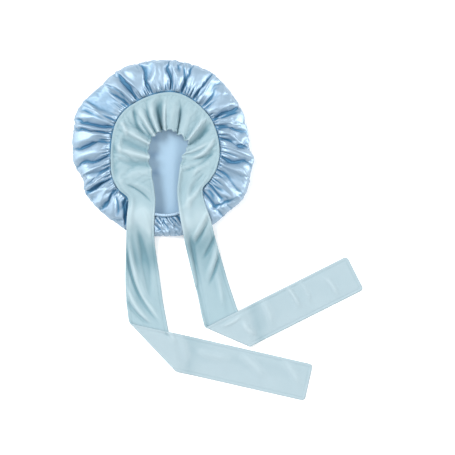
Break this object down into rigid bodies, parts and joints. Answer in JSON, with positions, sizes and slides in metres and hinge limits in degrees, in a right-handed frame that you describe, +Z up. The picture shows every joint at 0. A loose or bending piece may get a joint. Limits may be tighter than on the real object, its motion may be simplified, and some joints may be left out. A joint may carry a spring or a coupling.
{
  "type": "sleep bonnet",
  "caption": "Round gathered satin bonnet lying crown down, with a wide ruffled tie band round its opening, an elastic nape casing and long turned-over ties.",
  "frame": {"origin": "middle of the crown, on the surface that it rests on", "axes": "+Z up out of the bonnet's opening, +Y to the front of the opening over the forehead, -Y to the nape and the ties"},
  "size_m": [0.5499, 0.6457, 0.0344],
  "materials": {
    "satin": "light blue satin, glossy outside and dull on its wrong side",
    "band": "matte pale aqua stretch knit"
  },
  "bodies": {
    "root": {"crown": "satin", "nape_casing": "satin", "front_band": "band", "left_tie": "band", "right_tie": "band"}
  },
  "joints": []
}
